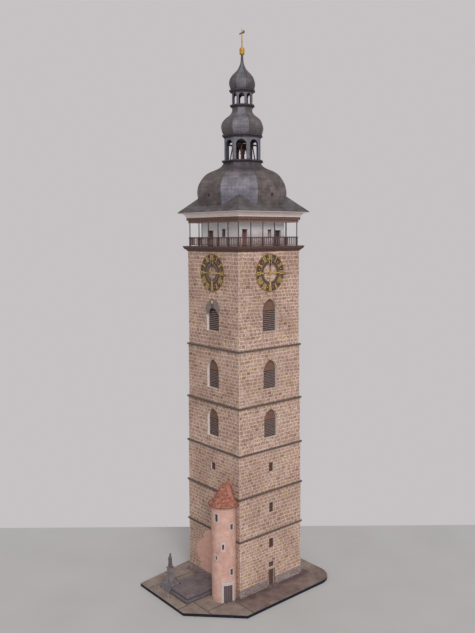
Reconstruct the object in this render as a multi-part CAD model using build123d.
from build123d import *
import os
from math import atan2, cos, degrees, hypot, radians, sin, sqrt

# Card scale model of a town belfry, 1:150, in millimetres.
# The origin is on the tower's axis at the underside of the base board, +Z up.
# The front, with the door, faces -Y. The side with the stair turret faces -X.

# Base board
BOARD_THICK = 2.5
BOARD_LEFT = -86.4
BOARD_RIGHT = 56.3
BOARD_FRONT = -60.4
BOARD_BACK_RIGHT = 60.4
BOARD_BACK_LEFT = 42.3
CHAMFER_LEFT = -22.8
CHAMFER_FRONT = -48.9
BOARD_CORNER_RADIUS = 17.0

# Shaft: each storey is set back a little over the string course below it
STOREY_HALF = (36.1, 36.1, 35.85, 35.52, 35.03, 34.55)
COURSE_MIDDLE = (52.3, 89.4, 126.6, 167.1, 214.8)
COURSE_HEIGHT = 1.4
COURSE_REACH = 0.9
SHAFT_TOP = 297.0
WALL = 3.3
PLINTH_TOP = 9.3
PLINTH_HALF = 36.7

# Louvred bell windows: width, sill and apex of the three tall rows
BELL_WINDOWS = ((16.6, 229.2, 257.1), (15.8, 179.5, 204.8), (15.4, 136.9, 161.8))
ARCH_RATIO = 0.62
ARCH_MIDDLE_ANGLE = 38
SLATS = 11
SLAT_DEPTH = 1.5
SLAT_THICK = 0.45
SLAT_TILT = 35
PANEL_THICK = 0.8

# Small windows of the front: width, sill, head
FRONT_WINDOWS = ((5.0, 106.5, 114.7), (5.0, 69.8, 78.8), (5.4, 37.2, 46.0))
SIDE_WINDOWS = ((5.6, 106.8, 113.6),)
VENT_SIDE = 2.0
VENT_Y = 27.0
VENT_Z = 11.5
PANE_THICK = 0.8
PANE_RECESS = 0.9

# Front door, its fanlight and its step
DOOR_WIDTH = 5.8
DOOR_SILL = 3.3
DOOR_HEAD = 18.2
FANLIGHT_SILL = 19.5
FANLIGHT_HEAD = 24.6
PLINTH_GAP = 7.2
STEP_LEFT = -5.3
STEP_RIGHT = 6.3
STEP_DEPTH = 2.4

# Clock dials
DIAL_RADIUS = 16.0
DIAL_HOLE_RADIUS = 7.4
DIAL_Z = 279.05
DIAL_THICK = 0.4
SPOKE_WIDTH = 0.8
HUB_RADIUS = 1.7
HAND_THICK = 0.3
HAND_BOSS_RADIUS = 1.2
MINUTE_HAND = 12.6
HOUR_HAND = 8.4

# Gallery
CORNICE_PROFILE = ((34.7, 297.0), (35.7, 298.2), (36.8, 299.1), (37.4, 299.9), (37.8, 301.0), (37.8, 301.5))
FLOOR_Z = 301.5
POST_LINE = 33.1
POST_SIDE = 0.9
POST_FOOT_SIDE = 1.5
BRACKET_REACH = 1.5
BRACKET_HEIGHT = 1.3
BAYS = 5
BALUSTERS = 7
BALUSTER_SIDE = 0.45
RAIL_Z = 308.3
RAIL_HEIGHT = 0.9
RAIL_HALF = 34.0
RAIL_WIDTH = 2.0
FOOT_RAIL_Z = 302.2
FOOT_RAIL_HEIGHT = 0.5
FOOT_RAIL_WIDTH = 1.8
BEAM_Z = 321.3
BEAM_TOP = 323.5
BEAM_HALF = 34.1
BEAM_WIDTH = 2.4
FASCIA_HALF = 35.2
CEILING_Z = 325.8
ROOM_HALF = 25.4
ROOM_WALL = 1.2
ROOM_PANEL_RECESS = 0.6
# Doors and windows of the gallery room: place, width, foot and head
ROOM_OPENINGS = {
    "front": ((-20.1, 4.4, FLOOR_Z, 315.1), (7.8, 2.6, 308.8, 314.8), (17.5, 5.6, FLOOR_Z, 314.2)),
    "left": ((-13.2, 6.0, FLOOR_Z, 314.2), (4.7, 2.9, 309.8, 315.3)),
}

# Eaves, skirt and main dome
EAVES_Z = 330.2
EAVES_HALF = 40.7
EAVES_EDGE = 0.4
COVE_EDGE = 0.6
COVE_FOOT_HALF = 35.5
COVE_WAIST = (36.7, 328.6)
COVE_TOP_HALF = 40.1
SKIRT_SLOPE = 0.93
SKIRT_TOP_HALF = 23.0
DOME_CURVE = (
    (33.6, EAVES_Z),
    (35.5, 336.0),
    (37.2, 342.5),
    (37.65, 347.2),
    (36.7, 352.6),
    (34.0, 357.7),
    (30.3, 362.0),
    (24.1, 365.4),
    (18.0, 368.8),
    (15.9, 372.0),
)
HATCH_SIDE = 1.8
HATCH_Z = 344.2
HATCH_FLOOR_HALF = 36.4

# Ledges of the lanterns: foot, head and half width
LEDGE_LIP = 0.9
SILL_1 = (372.0, 374.3, 17.4)
CORNICE_1 = (392.6, 395.9, 16.9)
SILL_2 = (418.3, 421.1, 10.3)
CORNICE_2 = (431.0, 433.5, 10.8)
SILL_INSET = 1.6
CORNICE_INSET = 1.8

# Lower lantern: foot, head, half width and wall; width and top of its arches
LANTERN_1 = (374.3, 392.6, 15.1, 2.1)
ARCH_1 = (8.8, 391.2)
BULB_CURVE = (
    (15.9, 395.9),
    (17.3, 399.6),
    (17.6, 402.6),
    (16.6, 406.0),
    (14.0, 409.3),
    (10.2, 412.6),
    (8.7, 415.2),
    (8.5, 418.3),
)

# Bell and its timber frame
TRESTLE_X = 3.2
TRESTLE_SPREAD = 4.4
TRESTLE_TOP = 386.4
TIMBER_SIDE = 1.0
HEAD_BEAM_HALF = 7.0
HEAD_BEAM_TOP = 387.8
BELL_TOP = 385.6
BELL_OUTLINE = ((0.0, 0.0), (0.8, 0.0), (1.3, -1.0), (1.5, -3.6), (2.4, -5.4), (0.0, -5.4))
HANGER_SIDE = 0.8

# Upper lantern and the onion over it
LANTERN_2 = (421.1, 431.0, 8.5, 1.3)
ARCH_2 = (4.7, 430.4)
ONION_CURVE = (
    (9.4, 433.5),
    (10.7, 437.4),
    (10.7, 440.0),
    (9.5, 443.3),
    (7.1, 446.6),
    (4.1, 449.9),
    (2.3, 453.2),
    (1.3, 456.4),
)
SPIKE_TOP = 462.5
SPIKE_TOP_RADIUS = 0.9
# Gilt bead: radius and height over its foot, up to its middle
BEAD_TOP = 468.6
BEAD_OUTLINE = ((0.0, 0.0), (1.3, 0.0), (1.9, 0.5), (2.15, 1.3))
POLE_TOP = 484.1
POLE_FOOT_RADIUS = 0.6
POLE_TOP_RADIUS = 0.3

# Wind vane
VANE_Z = 480.7
VANE_BEARING = 258.6
VANE_FRONT = 4.4
VANE_TAIL = 4.0
VANE_THICK = 0.4
VANE_BAR_HEIGHT = 0.5
VANE_FLAG = (2.6, 2.2)
VANE_PLATE = (1.5, 1.3)
VANE_HUB_RADIUS = 0.75
VANE_HUB_HEIGHT = 1.0

# Stair turret
TURRET_X = -44.4
TURRET_Y = -24.4
TURRET_RADIUS = 10.5
TURRET_WALL = 1.0
TURRET_EAVES = 86.0
FRAME_PROUD = 0.35
# Turret windows: bearing in degrees, width, sill, head, frame width, frame foot, frame head
TURRET_WINDOWS = (
    (-163.5, 3.1, 73.3, 80.0, 5.0, 72.7, 81.2),
    (-89.3, 2.9, 66.1, 71.0, 4.8, 65.5, 72.1),
    (-131.6, 1.7, 49.6, 54.2, 4.1, 47.7, 56.1),
    (-165.0, 1.8, 40.0, 43.5, 3.9, 39.3, 44.3),
    (-90.6, 2.9, 26.2, 31.8, 4.8, 25.5, 32.6),
)
TURRET_PANE_LAP = 0.4
TURRET_PANE_THICK = 0.5
TURRET_DOOR_BEARING = -109.5
TURRET_DOOR_WIDTH = 7.8
TURRET_DOOR_HEAD = 17.8
TURRET_FRAME_WIDTH = 11.4
TURRET_FRAME_HEAD = 19.2
TURRET_FRAME_PROUD = 0.56
TURRET_CORNICE_WIDTH = 12.8
TURRET_CORNICE_TOP = 21.0
TURRET_CORNICE_PROUD = 1.06
TURRET_STEP_WIDTH = 9.4
TURRET_STEP_REACH = 1.6
TURRET_STEP_HEIGHT = 0.8

# Turret roof: a flared eaves ring under a cone that leans on the tower
ROOF_X = -43.6
ROOF_SIDES = 36
ROOF_EAVES_RADIUS = 13.6
ROOF_KINK = 90.0
ROOF_KINK_RADIUS = 9.1
ROOF_APEX = (-34.0, -18.1, 108.1)
ROOF_APEX_RADIUS = 0.3
# Where the cone is trimmed on the tower's wall: the two ends of the cut, along Y and Z
ROOF_CUT = ((-11.5, 97.6), (-23.4, 103.1))

# Platform, monument and bollards
PLATFORM_LEFT = -76.5
PLATFORM_FRONT = -14.0
PLATFORM_BACK = 17.4
STEP_RISE = 2.2
STEP_INSET = 1.75
MONUMENT_X = -70.4
MONUMENT_Y = 18.4
MONUMENT_TIERS = ((13.2, 3.0), (10.5, 2.6), (6.9, 1.2), (6.0, 1.6), (4.25, 9.9), (5.2, 1.0))
# Statue: height and half width of each section of the robe and of the head
ROBE_SECTIONS = ((0.0, 1.6), (3.6, 1.3), (6.6, 1.1), (8.9, 1.45), (9.9, 1.15), (10.5, 0.5))
HEAD_SECTIONS = ((0.5, 10.5), (0.9, 11.1), (0.95, 11.8), (0.5, 12.5))
ARM_SIZE = (2.4, 0.9, 0.9)
ARM_REACH = 1.1
ARM_HEIGHT = 7.4
BOLLARDS = ((-81.7, 26.2), (-81.9, 5.3))
BOLLARD_HEIGHT = 3.4
BOLLARD_RADIUS = 0.9

LOWER = (Align.CENTER, Align.CENTER, Align.MIN)
SIDE_TURNS = {"front": 0, "right": 90, "back": 180, "left": 270}
CLEAR = 60.0


def save(name, *shapes):
    """Write the solids of one node."""
    solids = [solid for shape in shapes for solid in shape.solids()]
    whole = solids[0] if len(solids) == 1 else Compound(children=solids)
    export_step(whole, f"parts/{name}.step")


def block(x0, x1, y0, y1, z0, z1):
    """Box between three pairs of limits."""
    middle = Pos((x0 + x1) / 2, (y0 + y1) / 2, (z0 + z1) / 2)
    return middle * Box(x1 - x0, y1 - y0, z1 - z0)


def square_block(half, z0, z1):
    """Square block centred on the tower's axis."""
    return block(-half, half, -half, half, z0, z1)


def square_ring(outer, inner, z0, z1):
    """Square tube centred on the tower's axis."""
    return square_block(outer, z0, z1) - square_block(inner, z0, z1)


def outline_face(edges, foot, head):
    """Closed face from the outline right of the axis, mirrored about it."""
    (foot_half, foot_z), (head_half, head_z) = foot, head
    edges = list(edges)
    edges += [mirror(edge, about=Plane.YZ) for edge in edges]
    edges.append(Line((-foot_half, foot_z), (foot_half, foot_z)))
    edges.append(Line((-head_half, head_z), (head_half, head_z)))
    return make_face(Curve() + edges)


def prism_form(face, half, sides):
    """Form whose outline is the same face seen square on to each pair of sides."""
    bar = extrude(Plane.XZ * face, amount=half, both=True)
    form = bar
    for turn in range(1, sides // 2):
        form = form & (Rot(0, 0, 360 / sides * turn) * bar)
    return form


def curved_form(points, sides):
    """Many-sided form with a smooth outline through the points."""
    reach = max(half for half, z in points) * 1.5
    return prism_form(outline_face([Spline(*points)], points[0], points[-1]), reach, sides)


def straight_form(points, sides):
    """Many-sided form with a straight-edged outline through the points."""
    reach = max(half for half, z in points) * 1.5
    return prism_form(outline_face([Polyline(*points)], points[0], points[-1]), reach, sides)


def octagon(apothem, z0, z1):
    """Eight-sided block with flats square on to the axes."""
    return straight_form(((apothem, z0), (apothem, z1)), 8)


def turned_form(points):
    """Round form from a straight-edged outline of radii and heights, closed on the axis."""
    return revolve(Plane.XZ * make_face(Polyline(*points, close=True)), axis=Axis.Z)


def arch_face(width, sill, apex):
    """Pointed arch outline, centred on x = 0, and the height where the arch springs."""
    radius = ARCH_RATIO * width
    half = width / 2
    rise = sqrt(radius**2 - (radius - half) ** 2)
    spring = apex - rise
    middle_x = half - radius + radius * cos(radians(ARCH_MIDDLE_ANGLE))
    middle_z = spring + radius * sin(radians(ARCH_MIDDLE_ANGLE))
    right = ThreePointArc((half, spring), (middle_x, middle_z), (0, apex))
    jamb = Line((half, sill), (half, spring))
    edges = [jamb, right, mirror(jamb, about=Plane.YZ), mirror(right, about=Plane.YZ)]
    edges.append(Line((-half, sill), (half, sill)))
    return make_face(Curve() + edges), spring


def round_arch_face(width, sill, apex):
    """Round-headed outline, centred on x = 0."""
    half = width / 2
    spring = apex - half
    edges = [
        Line((-half, sill), (half, sill)),
        Line((half, sill), (half, spring)),
        ThreePointArc((half, spring), (0, apex), (-half, spring)),
        Line((-half, spring), (-half, sill)),
    ]
    return make_face(Curve() + edges)


def storey_half(z):
    """Half width of the shaft at a height."""
    return STOREY_HALF[sum(z > middle for middle in COURSE_MIDDLE)]


def storey_levels():
    """Foot, head and half width of each storey."""
    ledges = [middle - COURSE_HEIGHT / 2 for middle in COURSE_MIDDLE]
    return list(zip([BOARD_THICK] + ledges, ledges + [SHAFT_TOP], STOREY_HALF))


def shaft_envelope():
    """The shaft as one full block, to cut what is built against it."""
    blocks = [square_block(half, foot, head) for foot, head, half in storey_levels()]
    return blocks[0].fuse(*blocks[1:])


def plain_wall():
    """The front wall before its openings are cut, mitred at its corners."""
    pieces = []
    for foot, head, half in storey_levels():
        inner = half - WALL
        corners = ((-half, -half), (half, -half), (inner, -inner), (-inner, -inner))
        plan = make_face(Polyline(*corners, close=True))
        pieces.append(Pos(0, 0, foot) * extrude(plan, amount=head - foot))
    return pieces[0].fuse(*pieces[1:])


def through_cut(face):
    """Cutter through the front wall."""
    return extrude(Plane.XZ * face, amount=CLEAR)


def rectangle_cut(width, sill, head, x=0):
    """Straight-headed cutter through the front wall."""
    return block(x - width / 2, x + width / 2, -CLEAR, -CLEAR / 3, sill, head)


def bell_window_cuts():
    return [through_cut(arch_face(*row)[0]) for row in BELL_WINDOWS]


def walls():
    """The four walls, by side."""
    plain = plain_wall()
    for cut in bell_window_cuts():
        plain = plain - cut
    front = plain
    for row in FRONT_WINDOWS:
        front = front - rectangle_cut(*row)
    back = front
    front = front - rectangle_cut(DOOR_WIDTH, BOARD_THICK, DOOR_HEAD)
    front = front - rectangle_cut(DOOR_WIDTH, FANLIGHT_SILL, FANLIGHT_HEAD)
    side = plain
    for row in SIDE_WINDOWS:
        side = side - rectangle_cut(*row)
    vent = rectangle_cut(VENT_SIDE, VENT_Z - VENT_SIDE / 2, VENT_Z + VENT_SIDE / 2, -VENT_Y)
    return {"front": front, "back": back, "left": side - vent, "right": side}


def turned(shape, side):
    """A piece drawn on the front, turned to another side."""
    return Rot(0, 0, SIDE_TURNS[side]) * shape


def louvre(width, sill, apex):
    """One louvred panel: a back board, a plain head and a row of sloping slats."""
    face, spring = arch_face(width, sill, apex)
    inner = storey_half(sill) - WALL
    front = inner + PANEL_THICK
    board = Pos(0, -inner, 0) * extrude(Plane.XZ * face, amount=-PANEL_THICK)
    head = Pos(0, -inner, 0) * extrude(Plane.XZ * face, amount=PANEL_THICK)
    panel = board + (head - block(-width, width, -front, 0, 0, spring))
    pitch = (spring - sill) / SLATS
    slat = Rot(SLAT_TILT, 0, 0) * Box(width, SLAT_DEPTH, SLAT_THICK)
    for number in range(SLATS):
        panel = panel + Pos(0, -inner - SLAT_THICK, sill + pitch * (number + 0.5)) * slat
    return panel


def pane(width, sill, head, x=0):
    """Plate set in a straight-headed opening, a little behind the wall's face."""
    face = storey_half(sill) - PANE_RECESS
    return block(x - width / 2, x + width / 2, -face, -face + PANE_THICK, sill, head)


def on_dial(plan, reach, thick):
    """Flat plan set up on the front dial, this far out from the wall."""
    place = Plane((0, -STOREY_HALF[-1] - reach, DIAL_Z), x_dir=(1, 0, 0), z_dir=(0, -1, 0))
    return extrude(place * plan, amount=thick)


def dial():
    """Clock ring with four spokes and a hub."""
    span = 2 * DIAL_HOLE_RADIUS + SPOKE_WIDTH / 2
    spokes = Rectangle(span, SPOKE_WIDTH) + Rectangle(SPOKE_WIDTH, span)
    plan = (Circle(DIAL_RADIUS) - Circle(DIAL_HOLE_RADIUS)) + spokes + Circle(HUB_RADIUS)
    return on_dial(plan, 0, DIAL_THICK)


def hands():
    """Minute hand to twelve and hour hand to three."""
    minute = Polyline((-0.45, -1.2), (0.45, -1.2), (0.8, 8.5), (0, MINUTE_HAND), (-0.8, 8.5), close=True)
    hour = Polyline((-1.0, -0.5), (-1.0, 0.5), (6.0, 1.0), (HOUR_HAND, 0), (6.0, -1.0), close=True)
    plan = make_face(minute) + make_face(hour) + Circle(HAND_BOSS_RADIUS)
    return on_dial(plan, DIAL_THICK, HAND_THICK)


def post_places():
    """Centres of the gallery posts, corner posts once each."""
    bay = 2 * POST_LINE / BAYS
    steps = [-POST_LINE + bay * number for number in range(BAYS + 1)]
    rows = [(x, y) for x in steps for y in (-POST_LINE, POST_LINE)]
    rows += [(x, y) for x in (-POST_LINE, POST_LINE) for y in steps[1:-1]]
    return rows


def gallery_post(x, y):
    """Post with a thick foot up to the rail and brackets to the beam along its row."""
    rail_top = RAIL_Z + RAIL_HEIGHT
    foot = Box(POST_FOOT_SIDE, POST_FOOT_SIDE, rail_top - FLOOR_Z, align=LOWER)
    shaft = Box(POST_SIDE, POST_SIDE, BEAM_Z - rail_top, align=LOWER)
    post = (Pos(x, y, FLOOR_Z) * foot) + (Pos(x, y, rail_top) * shaft)
    rows = []
    if abs(y) == POST_LINE:
        rows += [(step, 0) for step in (-1, 1) if abs(x + step) < POST_LINE]
    if abs(x) == POST_LINE:
        rows += [(0, step) for step in (-1, 1) if abs(y + step) < POST_LINE]
    knee = make_face(Polyline((0, 0), (BRACKET_REACH, 0), (0, -BRACKET_HEIGHT), close=True))
    bracket = extrude(Plane.XZ * knee, amount=POST_SIDE / 2, both=True)
    for dx, dy in rows:
        start = Pos(x + dx * POST_SIDE / 2, y + dy * POST_SIDE / 2, BEAM_Z)
        post = post + start * Rot(0, 0, degrees(atan2(dy, dx))) * bracket
    return post


def gallery_posts():
    return [gallery_post(x, y) for x, y in post_places()]


def balustrade(full_length):
    """Rails and balusters of the front of the gallery, let in round its posts."""
    bay = 2 * POST_LINE / BAYS
    end = RAIL_HALF if full_length else RAIL_HALF - RAIL_WIDTH
    foot = (-POST_LINE - FOOT_RAIL_WIDTH / 2, -POST_LINE + FOOT_RAIL_WIDTH / 2)
    pieces = [
        block(-end, end, -RAIL_HALF, -RAIL_HALF + RAIL_WIDTH, RAIL_Z, RAIL_Z + RAIL_HEIGHT),
        block(-end, end, *foot, FOOT_RAIL_Z, FOOT_RAIL_Z + FOOT_RAIL_HEIGHT),
    ]
    bar = Box(BALUSTER_SIDE, BALUSTER_SIDE, RAIL_Z - FLOOR_Z, align=LOWER)
    for number in range(BAYS):
        for place in range(1, BALUSTERS + 1):
            x = -POST_LINE + bay * (number + place / (BALUSTERS + 1))
            pieces.append(Pos(x, -POST_LINE, FLOOR_Z) * bar)
    whole = pieces[0].fuse(*pieces[1:])
    for post in gallery_posts():
        whole = whole - post
    return whole


def room_cuts(panels):
    """Cutters, or closing panels, of the doors and windows of the gallery room."""
    found = []
    y0 = -ROOM_HALF + ROOM_PANEL_RECESS if panels else -CLEAR
    y1 = -ROOM_HALF + ROOM_WALL if panels else -CLEAR / 3
    for side, opposite in (("front", "back"), ("left", "right")):
        for x, width, sill, head in ROOM_OPENINGS[side]:
            piece = block(x - width / 2, x + width / 2, y0, y1, sill, head)
            found += [turned(piece, side), turned(piece, opposite)]
    return found


def arcade(foot, head, apothem, wall, arch):
    """Eight-sided lantern wall with an arch cut in each side."""
    shell = octagon(apothem, foot, head) - octagon(apothem - wall, foot, head)
    cut = extrude(Plane.XZ * arch, amount=apothem * 2, both=True)
    for turn in range(4):
        shell = shell - Rot(0, 0, 45 * turn) * cut
    return shell


def ledge(foot, head, apothem, inset):
    """Eight-sided moulded ledge: a thin lip over a hollow, under a sloping top."""
    lip_head = head - (head - foot) * 0.15
    lip_foot = lip_head - LEDGE_LIP
    hollow = lip_foot - foot
    points = (
        (apothem - inset, foot),
        (apothem - inset * 0.85, foot + hollow * 0.55),
        (apothem - inset * 0.5, foot + hollow * 0.9),
        (apothem, lip_foot),
        (apothem, lip_head),
        (apothem - inset * 0.6, head),
    )
    return straight_form(points, 8)


def bell_frame():
    """Two trestles on the lantern floor with the head beam that carries the bell."""
    floor = LANTERN_1[0]
    half = TIMBER_SIDE / 2
    length = hypot(TRESTLE_SPREAD, TRESTLE_TOP - floor)
    lean = degrees(atan2(TRESTLE_SPREAD, TRESTLE_TOP - floor))
    leg = Box(TIMBER_SIDE, TIMBER_SIDE, length, align=LOWER)
    frame = block(-HEAD_BEAM_HALF, HEAD_BEAM_HALF, -half, half, TRESTLE_TOP, HEAD_BEAM_TOP)
    for x in (-TRESTLE_X, TRESTLE_X):
        sole = TRESTLE_SPREAD + TIMBER_SIDE
        frame = frame + block(x - half, x + half, -sole, sole, floor, floor + TIMBER_SIDE)
        for side in (-1, 1):
            frame = frame + Pos(x, side * TRESTLE_SPREAD, floor + half) * Rot(side * lean, 0, 0) * leg
    return frame - octagon(LANTERN_1[2], floor - CLEAR, floor)


def on_turret(shape, bearing):
    """A piece drawn looking along -Y from the turret's axis, turned to a bearing."""
    return Pos(TURRET_X, TURRET_Y, 0) * Rot(0, 0, bearing + 90) * shape


def turret_plate(width, foot, head, inner, outer, bearing):
    """Curved plate on the turret between two radii."""
    shell = Cylinder(outer, head - foot, align=LOWER) - Cylinder(inner, head - foot, align=LOWER)
    part = Pos(0, 0, foot) * shell
    return on_turret(part & block(-width / 2, width / 2, -outer - 1, 0, foot, head), bearing)


def turret_hole(width, foot, head, bearing):
    """Cutter through the turret's wall."""
    return on_turret(block(-width / 2, width / 2, -CLEAR / 3, -TURRET_RADIUS / 3, foot, head), bearing)


def turret_roof():
    """Flared eaves and leaning cone of the stair turret, trimmed where it meets the wall."""
    eaves = Pos(ROOF_X, TURRET_Y, TURRET_EAVES) * RegularPolygon(ROOF_EAVES_RADIUS, ROOF_SIDES)
    kink = Pos(ROOF_X, TURRET_Y, ROOF_KINK) * RegularPolygon(ROOF_KINK_RADIUS, ROOF_SIDES)
    tip = Pos(*ROOF_APEX) * RegularPolygon(ROOF_APEX_RADIUS, ROOF_SIDES)
    roof = loft([eaves, kink], ruled=True) + loft([kink, tip], ruled=True)
    (low_y, low_z), (high_y, high_z) = ROOF_CUT
    slope = degrees(atan2(high_z - low_z, high_y - low_y)) - 180
    trim = Pos(ROOF_X, low_y, low_z) * Rot(slope, 0, 0) * Box(CLEAR, CLEAR, CLEAR, align=LOWER)
    return roof - trim


def figure():
    """Robed standing figure: an eight-sided robe, folded arms and a head."""
    robe = straight_form([(half, z) for z, half in ROBE_SECTIONS], 8)
    head = straight_form(HEAD_SECTIONS, 8)
    arms = Pos(-ARM_REACH, 0, ARM_HEIGHT) * Rot(0, 0, 90) * Box(*ARM_SIZE)
    return robe + head + arms


def build():
    os.makedirs("parts", exist_ok=True)
    standing = BOARD_THICK

    # Base board
    outline = Polyline(
        (BOARD_LEFT, BOARD_BACK_LEFT),
        (BOARD_LEFT, CHAMFER_LEFT),
        (CHAMFER_FRONT, BOARD_FRONT),
        (BOARD_RIGHT, BOARD_FRONT),
        (BOARD_RIGHT, BOARD_BACK_RIGHT),
        close=True,
    )
    board = extrude(make_face(outline), amount=BOARD_THICK)
    corner = [e for e in board.edges().filter_by(Axis.Z) if e.center().X > 50 and e.center().Y < 0]
    save("base_board", fillet(corner, BOARD_CORNER_RADIUS))

    # Shaft
    envelope = shaft_envelope()
    for side, wall in walls().items():
        save(f"{side}_wall", turned(wall, side))
    plinth = square_ring(PLINTH_HALF, STOREY_HALF[0], standing, PLINTH_TOP)
    plinth = plinth - rectangle_cut(PLINTH_GAP, 0, CLEAR)
    rings = []
    for number, middle in enumerate(COURSE_MIDDLE):
        outer = STOREY_HALF[number] + COURSE_REACH
        low = middle - COURSE_HEIGHT / 2
        rings.append(square_ring(outer, STOREY_HALF[number + 1], low, low + COURSE_HEIGHT))
    save("string_courses", *rings)

    # Openings of the shaft
    louvres = [turned(louvre(*row), side) for side in SIDE_TURNS for row in BELL_WINDOWS]
    save("louvres", *louvres)
    panes = [turned(pane(*row), side) for side in ("front", "back") for row in FRONT_WINDOWS]
    panes += [turned(pane(*row), side) for side in ("left", "right") for row in SIDE_WINDOWS]
    panes.append(pane(DOOR_WIDTH, FANLIGHT_SILL, FANLIGHT_HEAD))
    panes.append(turned(pane(VENT_SIDE, VENT_Z - VENT_SIDE / 2, VENT_Z + VENT_SIDE / 2, -VENT_Y), "left"))
    save("window_panes", *panes)
    save("front_door", pane(DOOR_WIDTH, DOOR_SILL, DOOR_HEAD))
    face = -STOREY_HALF[0]
    sill_block = block(-DOOR_WIDTH / 2, DOOR_WIDTH / 2, face, face + WALL, standing, DOOR_SILL)
    link = block(-PLINTH_GAP / 2, PLINTH_GAP / 2, -PLINTH_HALF, face, standing, DOOR_SILL)
    tread = block(STEP_LEFT, STEP_RIGHT, -PLINTH_HALF - STEP_DEPTH, -PLINTH_HALF, standing, DOOR_SILL)
    save("front_door_step", tread + link + sill_block)

    # Clocks
    save("clock_dials", *[turned(dial(), side) for side in SIDE_TURNS])
    save("clock_hands", *[turned(hands(), side) for side in SIDE_TURNS])

    # Gallery
    save("gallery_floor", straight_form(CORNICE_PROFILE, 4))
    save("gallery_posts", *gallery_posts())
    for side in SIDE_TURNS:
        save(f"{side}_balustrade", turned(balustrade(side in ("front", "back")), side))
    save("gallery_beam", square_ring(BEAM_HALF, BEAM_HALF - BEAM_WIDTH, BEAM_Z, BEAM_TOP))
    save("gallery_fascia", square_ring(FASCIA_HALF, BEAM_HALF - BEAM_WIDTH, BEAM_TOP, CEILING_Z))
    room = square_ring(ROOM_HALF, ROOM_HALF - ROOM_WALL, FLOOR_Z, CEILING_Z)
    for cut in room_cuts(False):
        room = room - cut
    save("gallery_room", room)
    save("gallery_doors", *room_cuts(True))

    # Eaves and main dome
    foot = (COVE_FOOT_HALF, CEILING_Z)
    spring = (COVE_FOOT_HALF, CEILING_Z + COVE_EDGE)
    edge = (COVE_TOP_HALF, EAVES_Z - COVE_EDGE)
    lip = (EAVES_HALF, EAVES_Z)
    cove_edges = [
        Line(foot, spring),
        ThreePointArc(spring, COVE_WAIST, edge),
        Polyline(edge, (EAVES_HALF, EAVES_Z - COVE_EDGE), lip),
    ]
    save("eaves_cove", prism_form(outline_face(cove_edges, foot, lip), CLEAR, 4))
    dome = curved_form(DOME_CURVE, 8)
    skirt_foot = EAVES_Z + EAVES_EDGE
    skirt_head = skirt_foot + (EAVES_HALF - SKIRT_TOP_HALF) * SKIRT_SLOPE
    skirt_line = (lip, (EAVES_HALF, skirt_foot), (SKIRT_TOP_HALF, skirt_head))
    save("skirt_roof", straight_form(skirt_line, 4) - dome)
    half = HATCH_SIDE / 2
    hatch = block(-half, half, -CLEAR, -HATCH_FLOOR_HALF, HATCH_Z - half, HATCH_Z + half)
    for side in SIDE_TURNS:
        dome = dome - turned(hatch, side)
    save("main_dome", dome)

    # Lower lantern with its bell
    save("lower_lantern_sill", ledge(*SILL_1, SILL_INSET))
    arch_width, arch_top = ARCH_1
    save("lower_lantern_arcade", arcade(*LANTERN_1, round_arch_face(arch_width, LANTERN_1[0] - 1, arch_top)))
    save("bell_beam", bell_frame())
    bell = Pos(0, 0, BELL_TOP) * turned_form(BELL_OUTLINE)
    hanger = Pos(0, 0, BELL_TOP) * Box(HANGER_SIDE, HANGER_SIDE, TRESTLE_TOP - BELL_TOP, align=LOWER)
    save("bell", bell + hanger)
    save("lower_lantern_cornice", ledge(*CORNICE_1, CORNICE_INSET))
    save("middle_bulb", curved_form(BULB_CURVE, 8))

    # Upper lantern, onion and finial
    save("upper_lantern_sill", ledge(*SILL_2, SILL_INSET))
    arch_width, arch_top = ARCH_2
    save("upper_lantern_arcade", arcade(*LANTERN_2, arch_face(arch_width, LANTERN_2[0] - 1, arch_top)[0]))
    save("upper_lantern_cornice", ledge(*CORNICE_2, SILL_INSET))
    onion = curved_form(ONION_CURVE, 8)
    neck_radius, neck_z = ONION_CURVE[-1]
    spike = Pos(0, 0, neck_z) * Cone(neck_radius, SPIKE_TOP_RADIUS, SPIKE_TOP - neck_z, align=LOWER)
    save("top_onion", onion + spike)
    bead_height = BEAD_TOP - SPIKE_TOP
    upper = [(radius, bead_height - z) for radius, z in reversed(BEAD_OUTLINE)]
    bead = Pos(0, 0, SPIKE_TOP) * turned_form(list(BEAD_OUTLINE) + upper)
    pole = Pos(0, 0, BEAD_TOP) * Cone(POLE_FOOT_RADIUS, POLE_TOP_RADIUS, POLE_TOP - BEAD_TOP, align=LOWER)
    save("gilt_finial", bead + pole)
    flag_length, flag_height = VANE_FLAG
    plate_length, plate_height = VANE_PLATE
    vane = Cylinder(VANE_HUB_RADIUS, VANE_HUB_HEIGHT)
    vane = vane + Pos((VANE_FRONT - VANE_TAIL) / 2) * Box(VANE_FRONT + VANE_TAIL, VANE_THICK, VANE_BAR_HEIGHT)
    vane = vane + Pos(VANE_FRONT - flag_length / 2) * Box(flag_length, VANE_THICK, flag_height)
    vane = vane + Pos(plate_length / 2 - VANE_TAIL) * Box(plate_length, VANE_THICK, plate_height)
    save("vane", (Pos(0, 0, VANE_Z) * Rot(0, 0, VANE_BEARING) * vane) - pole)

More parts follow.
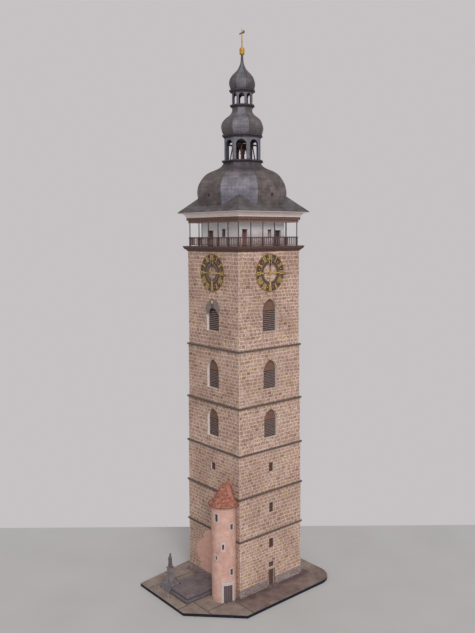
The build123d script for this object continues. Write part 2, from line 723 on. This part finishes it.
    # Stair turret
    core = Pos(TURRET_X, TURRET_Y, 0)
    inner = TURRET_RADIUS - TURRET_WALL
    rise = TURRET_EAVES - standing
    tube = Cylinder(TURRET_RADIUS, rise, align=LOWER) - Cylinder(inner, rise, align=LOWER)
    tube = core * Pos(0, 0, standing) * tube
    against = [envelope, rings[0], rings[1]]
    for piece in against:
        tube = tube - piece
    tube = tube - plinth
    frames = []
    turret_panes = []
    outer = TURRET_RADIUS + FRAME_PROUD
    for bearing, width, sill, head, frame_width, frame_foot, frame_head in TURRET_WINDOWS:
        hole = turret_hole(width, sill, head, bearing)
        tube = tube - hole
        frames.append(turret_plate(frame_width, frame_foot, frame_head, TURRET_RADIUS, outer, bearing) - hole)
        lap = TURRET_PANE_LAP
        limits = (width + 2 * lap, sill - lap, head + lap, inner - TURRET_PANE_THICK, inner)
        turret_panes.append(turret_plate(*limits, bearing))
    bearing = TURRET_DOOR_BEARING
    door_hole = turret_hole(TURRET_DOOR_WIDTH, standing, TURRET_DOOR_HEAD, bearing)
    save("turret_wall", tube - door_hole)
    save("turret_window_frames", *frames)
    save("turret_window_panes", *turret_panes)
    outer = TURRET_RADIUS + TURRET_FRAME_PROUD
    limits = (TURRET_FRAME_WIDTH, standing, TURRET_FRAME_HEAD, TURRET_RADIUS, outer)
    door_frame = turret_plate(*limits, bearing) - door_hole
    lintel_outer = TURRET_RADIUS + TURRET_CORNICE_PROUD
    limits = (TURRET_CORNICE_WIDTH, TURRET_FRAME_HEAD, TURRET_CORNICE_TOP, TURRET_RADIUS, lintel_outer)
    save("turret_door_frame", door_frame + turret_plate(*limits, bearing))
    limits = (TURRET_DOOR_WIDTH, standing, TURRET_DOOR_HEAD, inner - TURRET_PANE_THICK, inner)
    save("turret_door", turret_plate(*limits, bearing))
    limits = (TURRET_STEP_WIDTH, standing, standing + TURRET_STEP_HEIGHT)
    save("turret_step", turret_plate(*limits, outer, TURRET_RADIUS + TURRET_STEP_REACH, bearing))
    roof = turret_roof()
    for piece in against:
        roof = roof - piece
    save("turret_roof", roof)
    tower_hole = core * Cylinder(TURRET_RADIUS, CLEAR, align=LOWER)
    save("plinth", plinth - tower_hole)

    # Platform, monument and bollards
    steps = []
    for number in range(2):
        inset = STEP_INSET * number
        limits = (PLATFORM_LEFT + inset, -PLINTH_HALF, PLATFORM_FRONT + inset, PLATFORM_BACK)
        steps.append(block(*limits, standing + STEP_RISE * number, standing + STEP_RISE * (number + 1)))
    platform = steps[0] + steps[1]
    tier_half = MONUMENT_TIERS[0][0] / 2
    limits = (MONUMENT_X - tier_half, MONUMENT_X + tier_half, MONUMENT_Y - tier_half, MONUMENT_Y + tier_half)
    platform = platform - block(*limits, 0, CLEAR)
    save("platform_steps", platform - tower_hole)
    level = standing
    tiers = []
    for side, rise in MONUMENT_TIERS:
        tiers.append(Pos(MONUMENT_X, MONUMENT_Y, level) * Box(side, side, rise, align=LOWER))
        level += rise
    save("monument_pedestal", tiers[0].fuse(*tiers[1:]))
    save("monument_figure", Pos(MONUMENT_X, MONUMENT_Y, level) * figure())
    posts = []
    for x, y in BOLLARDS:
        posts.append(Pos(x, y, standing) * Cylinder(BOLLARD_RADIUS, BOLLARD_HEIGHT, align=LOWER))
    save("bollards", *posts)


build()
